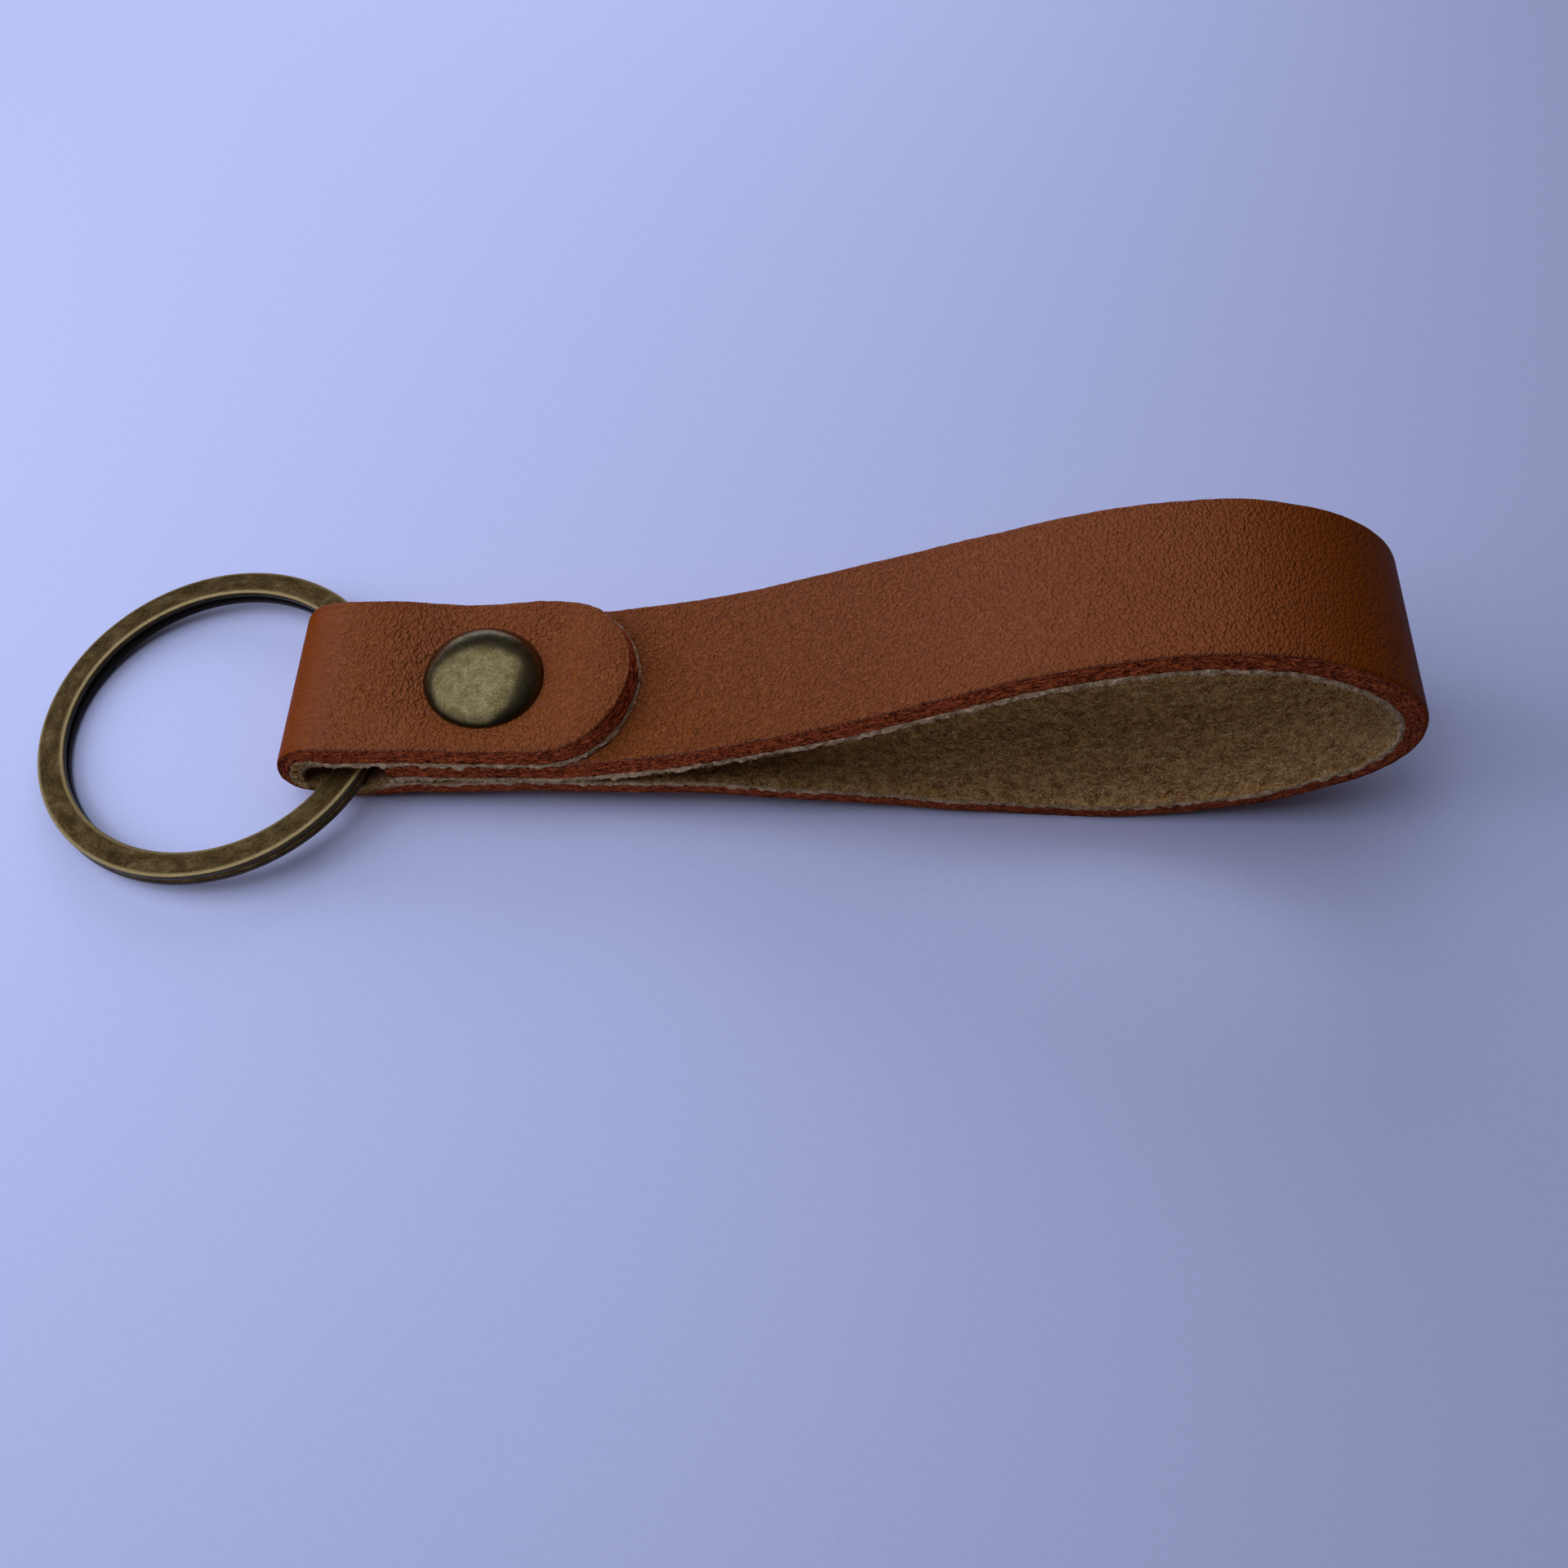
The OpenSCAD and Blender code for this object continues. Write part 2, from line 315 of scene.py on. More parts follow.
# ---------------------------------------------------------------- the three plies
# The fibre core is squeezed thin where the strap folds over.
squeeze = np.where(row_at[:, 1] < 2.6, 0.75 * smooth_step(-row_at[:, 0], 8.5, 11),
                   0.42 * smooth_step(-row_at[:, 0], 15.5, 18.5))
squeeze = np.convolve(np.pad(squeeze, 12, "edge"), np.full(25, 1 / 25), "valid")
lining_d = LINING_D * (1 - squeeze)[:, None]


def face_section(hw):
    """The grain face: crowned edges, a fine top and a coarse underside."""
    round_w = np.minimum(0.35, 0.3 * hw)
    lip = [(0.0, GRAIN_T), (0.0, 0.13), (0.12, 0.055), (0.45, 0.012)]
    top = np.linspace(-1, 1, 60)
    under = np.linspace(1, -1, 16)[1:-1]
    y = [-hw + round_w * a for a, _ in lip]
    d = [b + 0 * hw for _, b in lip]
    y += [(hw - round_w) * v for v in top]
    d += [0 * hw for _ in top]
    y += [hw - round_w * a for a, _ in reversed(lip)]
    d += [b + 0 * hw for _, b in reversed(lip)]
    y += [hw * v for v in under]
    d += [GRAIN_T + 0 * hw for _ in under]
    return np.concatenate(y, 1), np.concatenate(d, 1)


def core_section(hw):
    """The fibre core: the cut edges are fine, its hidden faces coarse."""
    top = np.linspace(-1, 1, 14)
    side = [GRAIN_T + (lining_d - GRAIN_T) * v for v in np.linspace(0, 1, 13)[1:-1]]
    y = [hw * v for v in top] + [hw + 0 * hw for _ in side]
    d = [GRAIN_T + 0 * hw for _ in top] + side
    y += [hw * v for v in top[::-1]] + [-hw + 0 * hw for _ in side]
    d += [lining_d + 0 * hw for _ in top] + side[::-1]
    return np.concatenate(y, 1), np.concatenate(d, 1)


def lining_section(hw):
    """The suede: fine on its napped face and its frayed edges."""
    nap = np.linspace(-1, 1, 56)
    side = [lining_d + (STRAP_T - lining_d) * v for v in np.linspace(0, 1, 7)[1:-1]]
    back = np.linspace(-1, 1, 12)
    y = [hw * v for v in back] + [hw + 0 * hw for _ in side]
    d = [lining_d + 0 * hw for _ in back] + side
    y += [hw * v for v in nap[::-1]] + [-hw + 0 * hw for _ in side]
    d += [STRAP_T + 0 * hw for _ in nap] + side[::-1]
    return np.concatenate(y, 1), np.concatenate(d, 1)


def core_relief(s, y, d):
    """Torn fibres in long flat flakes on the cut edges."""
    at_edge = np.isclose(np.abs(y), row_hw[:, None])
    flakes = noise2(s / 0.9, d * 5 + 40 * (y > 0), lattice(11))
    grit = noise2(s / 0.3, d * 9 + 80 * (y > 0), lattice(12))
    return np.where(at_edge, 0.06 * flakes + 0.06 * grit - 0.05, 0), 0 * d


def lining_relief(s, y, d):
    """Frayed edges and a lumpy nap."""
    at_edge = np.isclose(np.abs(y), row_hw[:, None])
    fray = noise2(s / 0.8, d * 3 + 30 * (y > 0), lattice(21))
    tuft = noise2(s / 0.28, d * 6 + 30 * (y > 0), lattice(22))
    out = np.where(at_edge, 0.15 * fray + 0.16 * tuft - 0.02, 0)
    nap = 0.035 * noise2(s / 0.5, y / 0.5, lattice(23))
    drip = 0.24 * np.maximum(0, noise2(s / 0.6, 9 * (y > 0) + 0.5 + 0 * y, lattice(24)))
    on_nap = np.isclose(d, STRAP_T)
    return out, np.where(on_nap, nap + np.where(at_edge, drip, 0), 0)


def grain_chart(piece):
    """Marks the grain face with the pebble's own coordinates: drawn out lengthwise round the
    fold, crosswise over the loop's crown, and cracked deeper where the rivet bends it."""
    x, z = row_at[:, 0], row_at[:, 1]
    fold = smooth_step(-x, 11.5, 16)
    crown = smooth_step(x, 52, 66) * smooth_step(z, 8, 16)
    stretch = 1 - 0.55 * fold + 0.15 * crown
    u = np.concatenate([[0], np.cumsum(np.diff(row_s) * (stretch[1:] + stretch[:-1]) / 2)])
    y = face_section(row_hw[:, None])[0]
    beside = np.exp(-((x + 7.2) / 3.0) ** 2) * is_tab
    v = y * (1 + 0.25 * fold - 0.12 * crown - 0.3 * beside)[:, None]
    bent = beside[:, None] * smooth_step(y, -7, -2)
    calm = smooth_step(x, 66, 76)
    arm = smooth_step(x, 8, 14) * (1 - smooth_step(x, 34, 50))
    depth = (1 - 0.45 * fold + 0.4 * arm - 0.1 * crown - 0.3 * calm)[:, None] + 0.75 * bent
    chart = np.stack([u[:, None] + 0 * y, v, depth], -1).astype(np.float32)
    layer = piece.data.attributes.new("grain", "FLOAT_VECTOR", "POINT")
    layer.data.foreach_set("vector", chart.ravel())
    # The coating is pulled thin where the strap turns hard, and deeper in colour there: partly
    # the thinned coating, partly painted shade at the fold and the loop's far end, set by
    # position.
    pulled_and_shaded = np.maximum(smooth_step(-x, 14, 18), smooth_step(x, 62, 78))
    layer = piece.data.attributes.new("pulled_and_shaded", "FLOAT", "POINT")
    layer.data.foreach_set("value", np.repeat(pulled_and_shaded, y.shape[1]).astype(np.float32))


grain_face = strap_piece("grain_face", face_section)
grain_chart(grain_face)
core = strap_piece("core_edge", core_section, core_relief)
lining = strap_piece("suede_lining", lining_section, lining_relief)
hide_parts("strap_grain_face")
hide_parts("strap_core")
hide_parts("strap_suede_lining")
for piece in (grain_face, core, lining):
    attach(piece, "strap")


# ---------------------------------------------------------------- loose suede fibres
def fibre_mesh(name, roots, ways, lengths, droop, radius, steps=2):
    """Thin tapered three-sided hairs, one for each root."""
    side = np.cross(ways, [0.3, 0.5, 0.81])
    side /= np.linalg.norm(side, axis=1)[:, None]
    other = np.cross(ways, side)
    points = []
    for k in range(steps):
        t = k / steps
        centre = roots + ways * (lengths * t)[:, None] + droop * (t * t)
        r = radius[:, None] * (1 - 0.75 * t)
        for a in (0, 2 * math.pi / 3, 4 * math.pi / 3):
            points.append(centre + r * (math.cos(a) * side + math.sin(a) * other))
    points.append(roots + ways * lengths[:, None] + droop)
    per = len(points)
    cloud = np.stack(points, 1).reshape(-1, 3)
    pattern = [(2, 1, 0)]
    for k in range(steps - 1):
        for a in range(3):
            b = (a + 1) % 3
            pattern.append((3 * k + a, 3 * k + b, 3 * k + 3 + b))
            pattern.append((3 * k + a, 3 * k + 3 + b, 3 * k + 3 + a))
    last = 3 * (steps - 1)
    pattern += [(last + a, last + (a + 1) % 3, per - 1) for a in range(3)]
    base = np.arange(len(roots))[:, None, None] * per
    faces = (base + np.array(pattern)[None]).reshape(-1, 3).tolist()
    shade = np.repeat(np.random.default_rng(5).uniform(0, 1, len(roots)), per)
    return make_mesh(name, cloud, faces, {"shade": shade})


def strap_points(s, y, d):
    """Positions and inward directions for scattered points of the strap."""
    rows = np.clip(np.searchsorted(row_s, s), 0, len(row_s) - 1)
    at = place(rows, y[:, None], d[:, None])[:, 0]
    inn = np.stack([row_in[rows, 0], 0 * s, row_in[rows, 1]], 1)
    way = np.stack([row_in[rows, 1], 0 * s, -row_in[rows, 0]], 1)
    return at, inn, way


def fringe():
    """Stray fibres standing out of the suede's cut edges."""
    n = 7000
    s = rng.uniform(half_w * 0.4, row_s[-1], n)
    clump = ripple(s, 1.6, 31)
    keep = rng.uniform(-0.9, 1, n) < clump + 0.25
    s = s[keep]
    n = len(s)
    sign = rng.choice([-1.0, 1.0], n)
    hw = np.interp(s, row_s, row_hw)
    d = rng.uniform(LINING_D + 0.05, STRAP_T, n)
    at, inn, way = strap_points(s, sign * (hw - 0.05), d)
    out = np.stack([0 * s, sign, 0 * s], 1)
    ways = (out * rng.uniform(0.1, 0.7, n)[:, None] + inn * rng.normal(0.25, 0.45, n)[:, None]
            + way * rng.normal(0, 0.9, n)[:, None])
    ways /= np.linalg.norm(ways, axis=1)[:, None]
    lengths = rng.uniform(0.12, 0.42, n) + 0.5 * (rng.uniform(0, 1, n) > 0.985)
    droop = rng.normal(0, 0.09, (n, 3))
    return fibre_mesh("suede_fringe", at, ways, lengths, droop, rng.uniform(0.018, 0.04, n))


def nap():
    """Short fibres lying on the suede inside the finger loop, thickest on its floor."""
    closed_x = 15         # nearer the rivet than this the layers lie together
    start = along[np.argmax((route[:, 0] > closed_x) & (along > fold_s))]
    floor_end = along[np.argmax(route[:, 0])]
    arm_end = along[-1] - SQUARE_REACH - closed_x
    s = np.concatenate([rng.uniform(start, floor_end, 11000),
                        rng.uniform(floor_end, arm_end, 4500)])
    n = len(s)
    y = rng.uniform(-half_w, half_w, n)
    at, inn, way = strap_points(s, y, np.full(n, STRAP_T - 0.01))
    across = np.array([0, 1.0, 0])
    ways = (inn * rng.uniform(0.1, 0.6, n)[:, None] + way * rng.normal(0, 0.8, n)[:, None]
            + across * rng.normal(0, 0.8, n)[:, None])
    ways /= np.linalg.norm(ways, axis=1)[:, None]
    return fibre_mesh("suede_nap", at, ways, rng.uniform(0.25, 0.8, n),
                      rng.normal(0, 0.08, (n, 3)) - 0.05 * inn, rng.uniform(0.022, 0.05, n))


fringe_piece = fringe()
nap_piece = nap()
for piece in (fringe_piece, nap_piece):
    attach(piece, "strap")


# ---------------------------------------------------------------- caps
def lathe(name, profile, centre, segments=128, wobble=0.0):
    """A turned piece: profile is a closed loop of (radius, height), none on the axis."""
    profile = np.array(profile)
    a = np.linspace(0, 2 * math.pi, segments, endpoint=False)
    r, z = profile[:, 0], profile[:, 1]
    ring = np.stack([np.outer(np.cos(a), r), np.outer(np.sin(a), r),
                     np.broadcast_to(z, (segments, len(z)))], -1)
    dent = noise2(ring[..., 0] * 0.55 + 20, ring[..., 1] * 0.55 + 20, lattice(41))
    ring[..., 2] += wobble * dent
    points = ring.reshape(-1, 3) + centre
    n = len(profile)
    i = np.arange(segments)[:, None] * n
    k = ((np.arange(segments) + 1) % segments)[:, None] * n
    j = np.arange(n)[None]
    m = (j + 1) % n
    quads = np.stack([i + j, k + j, k + m, i + m], -1).reshape(-1, 4)
    return make_mesh(name, points, quads.tolist(), {
        "radial": np.broadcast_to(r, (segments, n)).ravel()})


def dome(r, crown, rim, flat=0.0, power=0.75):
    """A dome's side view from its crown out to radius r, bending down to the rim."""
    pole = 0.004                                      # the crown's centre is this fine a hole
    v = np.sin(np.concatenate([[0, pole], np.linspace(0.04, math.pi / 2, 43)]))
    z = rim + (crown - rim) * (1 - v * v) ** power
    return list(zip(np.maximum(pole, flat + (r - flat) * v), z))


def cap_profile(r, height, skirt, **shape):
    """A pressed shell with its crown at height and its rolled rim at -skirt."""
    inner_r = r - RIM_ROLL
    roll = [(r - 0.02, -skirt - 0.04), (r - 0.10, -skirt - 0.07), (inner_r, -skirt - 0.02),
            (inner_r, -skirt + SHELL_T)]
    inside = dome(inner_r - 0.02, height - SHELL_T, SHELL_T - skirt + 0.1, **shape)[::-1]
    return dome(r, height, -skirt, **shape) + roll + inside


def socket_profile():
    """The crimped-in tube, with its flange under the top cap."""
    bore, tube_r, flange_r, top, foot = 1.56, 2.0, 4.2, 0.1, -5.2
    return [(bore, top), (flange_r, top), (flange_r, top - SHELL_T), (tube_r, top - SHELL_T),
            (tube_r, foot), (bore, foot)]


top_cap = lathe("top_cap", cap_profile(CAP_R + CAP_SPREAD, DOME_H - SHELL_T, CAP_SINK),
                [0, 0, TAB_Z], wobble=0.02)
back_profile = cap_profile(CAP_R, BACK_Z, 0, flat=3.4, power=0.5)
back_cap = lathe("back_cap", [(r, -z) for r, z in back_profile][::-1], [0, 0, BACK_Z])
socket = lathe("socket", socket_profile(), [0, 0, TAB_Z], 64)
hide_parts("rivet_socket")
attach(socket, "strap")
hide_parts("rivet_top_cap")
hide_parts("rivet_back_cap")
for piece in (top_cap, back_cap):
    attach(piece, "strap")


# ---------------------------------------------------------------- split ring
def wire_section():
    """The flat wire's section as (across, up, bevel, wall), with soft rounded bevels."""
    wide, deep = 0.42, 0.2
    corner = [(wide, 0.0, 0.0), (wide * 0.62, 0.1 * deep, 0.5), (wide * 0.3, 0.36 * deep, 1.0),
              (wide * 0.1, 0.7 * deep, 1.0), (0.0, deep, 0.3)]
    flat_w = WIRE_W - 2 * wide

    def wall(a):
        return 1.0 if a == 0 else 0.0

    # From the inner side over the top to the outer side, and back underneath.
    out = [(a, WIRE_T - b, bevel, wall(a)) for a, b, bevel in corner[::-1]]
    out += [(wide + flat_w * v, WIRE_T, 0.0, 0.0) for v in np.linspace(0, 1, 7)[1:-1]]
    out += [(WIRE_W - a, WIRE_T - b, bevel, wall(a)) for a, b, bevel in corner]
    out += [(WIRE_W - a, b, bevel, wall(a)) for a, b, bevel in corner[::-1]]
    out.append((WIRE_W / 2, 0.0, 0.0, 0.0))
    out += [(a, b, bevel, wall(a)) for a, b, bevel in corner]
    return np.array(out)


def split_ring():
    """Two turns of the flat wire, with one ramp between them."""
    section = wire_section()
    gap = math.radians(0.6)
    turn = 2 * math.pi
    a = np.concatenate([
        np.linspace(gap, turn - RAMP, 420), np.linspace(turn - RAMP, turn, 26)[1:-1],
        np.linspace(turn, 2 * turn - RAMP - gap, 420)])
    climb = (WIRE_T + TURN_GAP) * smooth_step(a, turn - RAMP, turn)
    climb += 0.012 * np.sin(3 * a + 1)                # never quite flat
    r = RING_R - WIRE_W + section[:, 0]
    x = np.outer(np.cos(a + SEAM), r)
    y = np.outer(np.sin(a + SEAM), r)
    z = section[:, 1][None] + climb[:, None]
    up = RING_AXIS / np.linalg.norm(RING_AXIS)
    ex = np.array([up[2], 0, -up[0]])
    points = (x[..., None] * ex + y[..., None] * np.array([0, 1.0, 0]) + z[..., None] * up
              + RING_AT)
    count = len(section)
    shape = (len(a), count)
    run = np.broadcast_to(a[:, None] * (RING_R - WIRE_W / 2), shape)
    wire = np.stack([run, np.broadcast_to(section[:, 0], shape),
                     np.broadcast_to(section[:, 1], shape)], -1)
    # Handling keeps the topmost bevel bright; below it the ring's inside is coloured near-black,
    # and its side walls nearly so.
    inside = (section[:, 0] < 0.5) * smooth_step(-z, -2 * WIRE_T, 0.3 - 2 * WIRE_T)
    black = np.maximum(inside, 0.8 * section[:, 3])
    bright = section[:, 2] * smooth_step(z, WIRE_T * 1.6, WIRE_T * 1.9)
    return make_mesh("key_ring_wire", points.reshape(-1, 3), tube_faces(len(a), count), {
        "wire": wire.reshape(-1, 3), "bevel": bright.ravel(), "wall": black.ravel()})


ring = split_ring()
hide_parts("split_ring")
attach(ring, "ring")


# ---------------------------------------------------------------- material helpers
class Nodes:
    """Builds one material's node tree."""

    def __init__(self, name):
        self.material = bpy.data.materials.new(name)
        self.material.use_nodes = True
        self.tree = self.material.node_tree
        self.tree.nodes.clear()
        self.out = self.add("ShaderNodeOutputMaterial")
        self.shader = self.add("ShaderNodeBsdfPrincipled")
        self.join(self.shader.outputs[0], self.out.inputs[0])

    def add(self, kind, **inputs):
        node = self.tree.nodes.new(kind)
        for key, value in inputs.items():
            self.set(node.inputs[key.replace("_", " ")], value)
        return node

    def join(self, source, target):
        self.tree.links.new(source, target)

    def set(self, socket, value):
        if isinstance(value, bpy.types.NodeSocket):
            self.join(value, socket)
        else:
            socket.default_value = value

    def attribute(self, name, output="Vector"):
        node = self.add("ShaderNodeAttribute")
        node.attribute_name = name
        return node.outputs[output]

    def math(self, operation, a, b):
        node = self.add("ShaderNodeMath")
        node.operation = operation
        self.set(node.inputs[0], a)
        self.set(node.inputs[1], b)
        return node.outputs[0]

    def weighted(self, a, share_a, b, share_b):
        """The sum of two values, each times its share."""
        return self.math("ADD", self.math("MULTIPLY", a, share_a),
                         self.math("MULTIPLY", b, share_b))

    def scaled(self, vector, scale):
        node = self.add("ShaderNodeMapping")
        self.set(node.inputs["Vector"], vector)
        node.inputs["Scale"].default_value = scale
        return node.outputs[0]

    def object_mm(self, stretch=(1, 1, 1)):
        """The object's own coordinates in millimetres."""
        own = self.add("ShaderNodeTexCoord").outputs["Object"]
        return self.scaled(own, tuple(v / MM for v in stretch))

    def noise(self, vector, scale, detail=2.0, roughness=0.5, distortion=0.0):
        node = self.add("ShaderNodeTexNoise")
        self.set(node.inputs["Vector"], vector)
        node.inputs["Scale"].default_value = scale
        node.inputs["Detail"].default_value = detail
        node.inputs["Roughness"].default_value = roughness
        node.inputs["Distortion"].default_value = distortion
        return node.outputs["Fac"]

    def cells(self, vector, scale, smooth):
        node = self.add("ShaderNodeTexVoronoi")
        node.feature = "SMOOTH_F1"
        self.set(node.inputs["Vector"], vector)
        node.inputs["Scale"].default_value = scale
        node.inputs["Smoothness"].default_value = smooth
        return node.outputs["Distance"]

    def ramp(self, value, *stops):
        node = self.add("ShaderNodeValToRGB")
        self.set(node.inputs[0], value)
        elements = node.color_ramp.elements
        while len(elements) < len(stops):
            elements.new(0.5)
        for element, (at, colour) in zip(elements, stops):
            element.position = at
            if isinstance(colour, (int, float)):
                colour = (colour, colour, colour)
            element.color = (*colour, 1)
        return node.outputs[0]

    def mix(self, fac, a, b):
        node = self.add("ShaderNodeMix")
        node.data_type = "RGBA"
        self.set(node.inputs[0], fac)
        for socket, value in ((node.inputs[6], a), (node.inputs[7], b)):
            if isinstance(value, tuple):
                value = (*value, 1)
            self.set(socket, value)
        return node.outputs[2]

    def bump(self, height, distance_mm, strength=1.0):
        node = self.add("ShaderNodeBump")
        node.inputs["Strength"].default_value = strength
        node.inputs["Distance"].default_value = distance_mm * MM
        self.set(node.inputs["Height"], height)
        self.join(node.outputs[0], self.shader.inputs["Normal"])


def grain_leather():
    """Orange-tan coated leather with a fine embossed pebble, creased near the rivet, with painted
    shade in its creases and, along with a thinned coating, at the fold and the loop's far end.
    """
    deep_tan, light_tan = (0.345, 0.086, 0.0075), (0.39, 0.101, 0.0095)
    # Deeper colours: where the strap turns hard, thinned coating plus painted shade; in the
    # creases, painted shade.
    pulled_shade_colour, crease_shade_colour = (0.275, 0.050, 0.0005), (0.17, 0.028, 0.0015)
    n = Nodes("grain_leather")
    p = n.attribute("strap")
    chart = n.attribute("grain")
    split = n.add("ShaderNodeSeparateXYZ")
    n.set(split.inputs[0], chart)
    depth = split.outputs[2]
    warp = n.add("ShaderNodeTexNoise", Scale=1.1, Detail=2.0)
    n.set(warp.inputs["Vector"], p)
    bent = n.add("ShaderNodeVectorMath")
    bent.operation = "MULTIPLY_ADD"
    n.set(bent.inputs[0], warp.outputs["Color"])
    bent.inputs[1].default_value = (0.45, 0.45, 0.0)
    n.set(bent.inputs[2], chart)
    flat = n.scaled(bent.outputs[0], (1.0, 1.0, 0.0))
    pebble = n.cells(flat, 3.3, smooth=0.3)
    fine = n.noise(flat, 5.6, 2.0, 0.5, 0.2)
    broad = n.noise(n.scaled(p, (1, 1, 0)), 0.16, 2.0)
    # Pebbles stand proud of the creases between them.
    height = n.weighted(n.math("POWER", pebble, 1.6), -1.0, fine, 0.75)
    raised = n.math("MULTIPLY", height, depth)
    crease_shade = n.ramp(raised, (-0.06, 1.0), (0.26, 0.0))
    colour = n.mix(broad, deep_tan, light_tan)
    # Painted shade, partly thinned coating: the colour deepens and the shine drops at the fold
    # and the loop's far end.
    pulled_and_shaded = n.attribute("pulled_and_shaded", "Fac")
    colour = n.mix(n.math("MULTIPLY", pulled_and_shaded, 0.85), colour, pulled_shade_colour)
    # Painted shade: the creases between the pebbles are coloured darker.
    colour = n.mix(n.math("MULTIPLY", crease_shade, 0.4), colour, crease_shade_colour)
    n.set(n.shader.inputs["Base Color"], colour)
    n.set(n.shader.inputs["Specular IOR Level"],
          n.math("SUBTRACT", 0.32, n.math("MULTIPLY", pulled_and_shaded, 0.31)))
    n.set(n.shader.inputs["Roughness"], n.math("ADD", n.math("MULTIPLY", fine, 0.2), 0.32))
    n.bump(raised, 0.27, 1.0)
    return n.material


def core_leather():
    """Dark red-brown fibre board, torn along its length at the cut edge."""
    n = Nodes("leather_core")
    p = n.attribute("strap")
    strands = n.noise(n.scaled(p, (1.6, 1.0, 5.5)), 1.0, 4.0, 0.65, 0.8)
    grit = n.noise(n.scaled(p, (5.0, 1.0, 7.0)), 1.0, 3.0, 0.7)
    mixed = n.weighted(strands, 0.6, grit, 0.4)
    colour = n.ramp(mixed, (0.42, (0.06, 0.006, 0.001)), (0.5, (0.42, 0.066, 0.012)),
                    (0.58, (0.82, 0.18, 0.040)))
    n.set(n.shader.inputs["Base Color"], colour)
    n.shader.inputs["Roughness"].default_value = 0.85
    n.shader.inputs["Specular IOR Level"].default_value = 0.08
    n.bump(mixed, 0.4, 1.0)
    return n.material


def suede():
    """Tan suede, matted and flecked, paler where it is cut."""
    n = Nodes("suede")
    p = n.attribute("strap")
    edge = n.attribute("edge", "Fac")
    clumps = n.noise(n.scaled(p, (0.7, 1.3, 1.0)), 1.1, 3.0, 0.6, 0.4)
    fibre = n.noise(n.scaled(p, (3.6, 6.0, 3.6)), 1.0, 3.0, 0.7, 1.6)
    flecks = n.weighted(clumps, 0.3, fibre, 0.7)
    tan = n.ramp(flecks, (0.40, (0.15, 0.050, 0.006)), (0.50, (0.56, 0.255, 0.048)),
                 (0.59, (0.96, 0.62, 0.20)))
    cream = n.ramp(fibre, (0.36, (0.60, 0.28, 0.09)), (0.58, (1.0, 0.72, 0.36)))
    ragged = n.math("ADD", n.math("MULTIPLY", edge, 3.2), n.math("SUBTRACT", clumps, 0.5))
    near = n.ramp(ragged, (0.0, 1.0), (0.8, 0.0))
    n.set(n.shader.inputs["Base Color"], n.mix(near, tan, cream))
    n.shader.inputs["Roughness"].default_value = 0.95
    n.shader.inputs["Specular IOR Level"].default_value = 0.1
    n.shader.inputs["Sheen Weight"].default_value = 0.05
    n.shader.inputs["Sheen Roughness"].default_value = 0.5
    n.bump(flecks, 0.5, 1.0)
    return n.material


def fibres(name, dark, light):
    """Single suede hairs, each its own shade."""
    n = Nodes(name)
    shade = n.attribute("shade", "Fac")
    along_hair = n.noise(n.object_mm(), 2.5, 2.0)
    value = n.weighted(shade, 0.7, along_hair, 0.3)
    n.set(n.shader.inputs["Base Color"], n.ramp(value, (0.1, dark), (0.9, light)))
    n.shader.inputs["Roughness"].default_value = 0.8
    n.shader.inputs["Specular IOR Level"].default_value = 0.2
    n.bump(along_hair, 0.01, 0.5)
    return n.material


def ring_brass():
    """Antiqued brass: mottled brown patina, bright worn bevels, near-black walls."""
    rubbed, black = (0.88, 0.64, 0.22), (0.012, 0.009, 0.006)
    n = Nodes("ring_brass")
    p = n.attribute("wire")
    bevel = n.attribute("bevel", "Fac")
    wall = n.attribute("wall", "Fac")
    blotch = n.noise(n.scaled(p, (0.55, 0.9, 1.0)), 1.0, 4.0, 0.6, 0.5)
    speck = n.noise(n.scaled(p, (4.0, 5.0, 4.0)), 1.0, 4.0, 0.75)
    brushed = n.noise(n.scaled(p, (2.0, 14.0, 3.0)), 1.0, 2.0, 0.6, 0.6)
    tone = n.weighted(n.weighted(blotch, 0.42, speck, 0.33), 1.0, brushed, 0.25)
    patina = n.ramp(tone, (0.37, (0.070, 0.039, 0.009)), (0.50, (0.17, 0.105, 0.028)),
                    (0.63, (0.36, 0.24, 0.075)))
    worn = n.math("MULTIPLY", bevel, n.ramp(speck, (0.25, 0.65), (0.6, 1.0)))
    colour = n.mix(worn, patina, rubbed)
    colour = n.mix(wall, colour, black)
    n.set(n.shader.inputs["Base Color"], colour)
    n.shader.inputs["Metallic"].default_value = 1.0
    n.set(n.shader.inputs["Roughness"], n.ramp(tone, (0.3, 0.55), (0.7, 0.36)))
    n.bump(tone, 0.07, 0.7)
    return n.material


def rivet_brass():
    """Antiqued brass cap: greenish-brown patina, rubbed pale on the crown."""
    dark_rim = (0.07, 0.052, 0.018)
    n = Nodes("rivet_brass")
    p = n.object_mm()
    radial = n.attribute("radial", "Fac")
    blotch = n.noise(p, 0.7, 4.0, 0.6, 0.4)
    speck = n.noise(p, 5.0, 3.0, 0.75)
    tone = n.weighted(blotch, 0.45, speck, 0.55)
    crown = n.ramp(tone, (0.36, (0.22, 0.15, 0.036)), (0.50, (0.41, 0.31, 0.10)),
                   (0.64, (0.66, 0.52, 0.20)))
    rim = n.ramp(n.math("DIVIDE", radial, CAP_R), (0.83, 0.0), (1.0, 0.92))
    n.set(n.shader.inputs["Base Color"], n.mix(rim, crown, dark_rim))
    n.shader.inputs["Metallic"].default_value = 1.0
    n.set(n.shader.inputs["Roughness"], n.ramp(speck, (0.3, 0.30), (0.7, 0.20)))
    n.bump(tone, 0.03, 0.35)
    return n.material


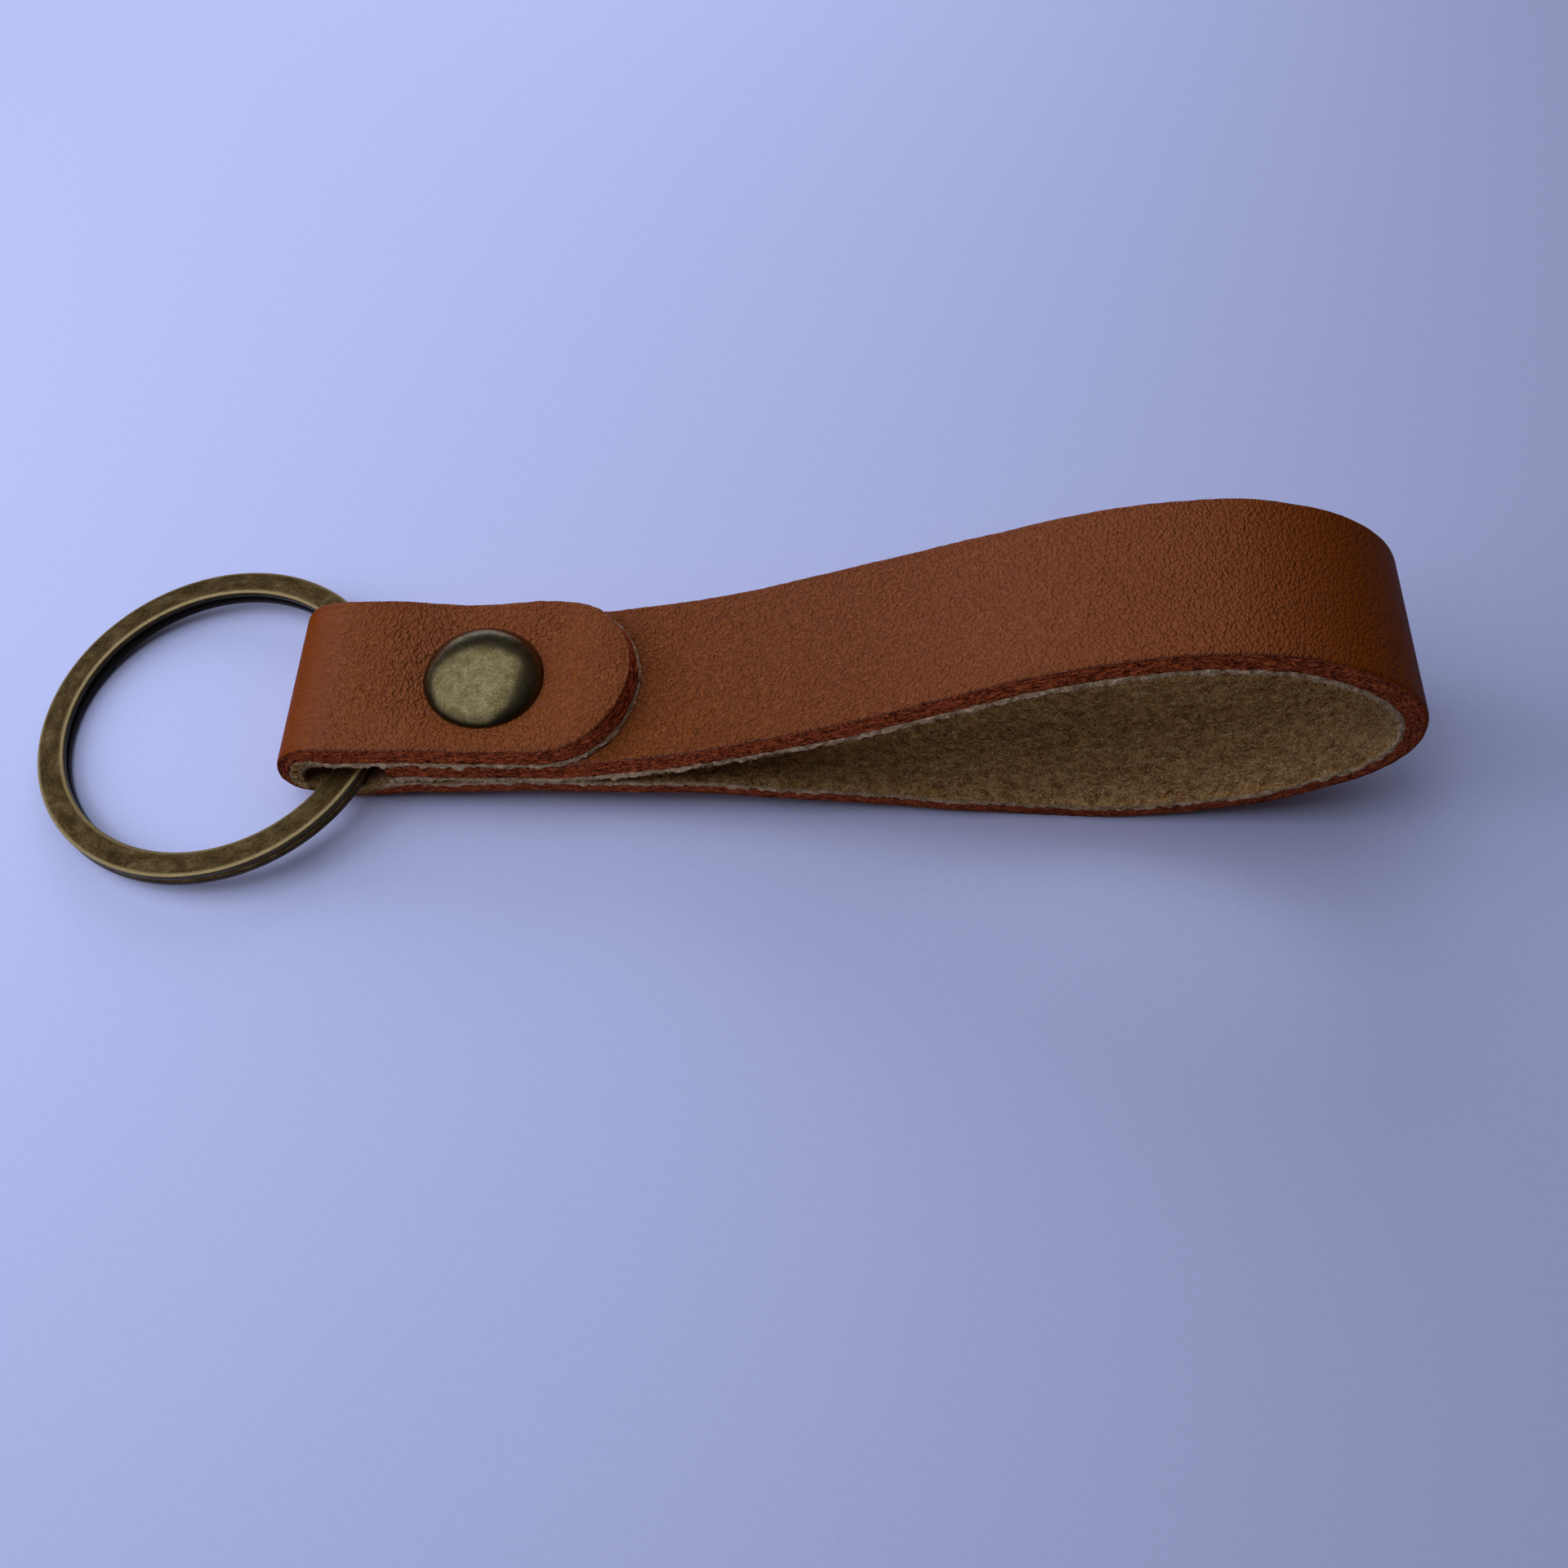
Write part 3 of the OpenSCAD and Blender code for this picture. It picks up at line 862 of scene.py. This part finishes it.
def plain_brass():
    """The hidden stem and socket: drawn brass with fine lengthwise marks."""
    n = Nodes("rivet_inner")
    p = n.object_mm((1, 1, 0.15))
    marks = n.noise(p, 3.0, 3.0, 0.6)
    n.set(n.shader.inputs["Base Color"], n.ramp(marks, (0.3, (0.36, 0.26, 0.11)),
                                                (0.7, (0.58, 0.45, 0.22))))
    n.shader.inputs["Metallic"].default_value = 1.0
    n.set(n.shader.inputs["Roughness"], n.ramp(marks, (0.3, 0.45), (0.7, 0.3)))
    n.bump(marks, 0.02, 0.5)
    return n.material


def paper():
    """Plain pale paper with a faint tooth."""
    n = Nodes("pale_floor")
    p = n.object_mm()
    tooth = n.noise(p, 1.6, 3.0, 0.6)
    n.set(n.shader.inputs["Base Color"], n.ramp(tooth, (0.2, (0.78, 0.80, 0.86)),
                                                (0.8, (0.82, 0.84, 0.90))))
    n.shader.inputs["Roughness"].default_value = 0.9
    n.shader.inputs["Specular IOR Level"].default_value = 0.15
    n.bump(tooth, 0.05, 0.15)
    return n.material


def dress(piece, material):
    piece.data.materials.clear()
    piece.data.materials.append(material)


dress(grain_face, grain_leather())
dress(core, core_leather())
dress(lining, suede())
dress(fringe_piece, fibres("fringe_fibres", (0.42, 0.24, 0.09), (0.88, 0.64, 0.34)))
dress(nap_piece, fibres("nap_fibres", (0.22, 0.09, 0.015), (1.0, 0.74, 0.32)))
dress(ring, ring_brass())
brass = rivet_brass()
dress(top_cap, brass)
dress(back_cap, brass)
inner = plain_brass()
dress(socket, inner)
dress(frame["nodes"]["rivet_post"], inner)


# ---------------------------------------------------------------- floor, light, camera
DAYLIGHT = (0.577, 0.632, 1.0)        # cool light from an overcast sky
# name, azimuth and elevation in degrees, distance and diameter in metres, watts
LIGHTS = (("left_window", 180, 32, 0.27, 0.22, 0.337),
          ("left_sky", 190, 68, 0.27, 0.22, 0.30),
          ("back_window", 96, 28, 0.27, 0.22, 0.28),
          ("overhead", 90, 78, 0.36, 0.3, 0.11))


def make_floor():
    half = 1500
    floor = make_mesh("floor", [(-half, -half, 0), (half, -half, 0), (half, half, 0),
                                (-half, half, 0)], [(0, 1, 2, 3)])
    dress(floor, paper())


def softbox(name, at, aim, size, power):
    """An area light in metres and watts. One size makes it round, two make it a panel."""
    data = bpy.data.lights.new(name, "AREA")
    data.shape = "RECTANGLE" if isinstance(size, tuple) else "DISK"
    if isinstance(size, tuple):
        data.size, data.size_y = size
    else:
        data.size = size
    data.energy = power
    data.color = DAYLIGHT
    light = bpy.data.objects.new(name, data)
    light.location = at
    light.rotation_euler = (Vector(aim) - Vector(at)).to_track_quat("-Z", "Y").to_euler()
    bpy.context.scene.collection.objects.link(light)
    return light


def soft_light(name, azimuth, elevation, distance, size, power):
    """Lights the scene from a compass angle and a height, in degrees, without being seen
    in the shiny parts."""
    a, e = math.radians(azimuth), math.radians(elevation)
    way = Vector((math.cos(e) * math.cos(a), math.cos(e) * math.sin(a), math.sin(e)))
    middle = Vector((0.02, -0.005, 0))
    softbox(name, middle + way * distance, middle, size, power).visible_glossy = False


def reflected_sky():
    """A wide pale panel to the left, seen in the shiny parts only."""
    wide, deep, height, right_edge = 1.2, 0.95, 0.27, 0.14
    turn, power = math.radians(12), 2.6
    x = right_edge - wide / 2
    panel = softbox("reflected_sky", (x, 0, height), (x, 0, 0), (wide, deep), power)
    panel.rotation_euler.z -= turn
    panel.visible_diffuse = False


def make_world():
    world = bpy.data.worlds.new("soft_room")
    bpy.context.scene.world = world
    world.use_nodes = True
    background = world.node_tree.nodes["Background"]
    background.inputs[0].default_value = (*DAYLIGHT, 1)
    background.inputs[1].default_value = 0.04


def make_camera():
    """A phone camera held about 15 cm away, looking down at 60 degrees."""
    data = bpy.data.cameras.new("camera")
    data.lens, data.sensor_width = 36, 36
    camera = bpy.data.objects.new("camera", data)
    camera.location = (0.03065, -0.0817, 0.1335)
    camera.rotation_euler = (math.radians(29.7), 0, math.radians(1.5))
    data.clip_start = 0.005
    bpy.context.scene.collection.objects.link(camera)
    bpy.context.scene.camera = camera


make_floor()
make_world()
for light in LIGHTS:
    soft_light(*light)
reflected_sky()
make_camera()
bpy.context.scene.view_settings.view_transform = "Standard"
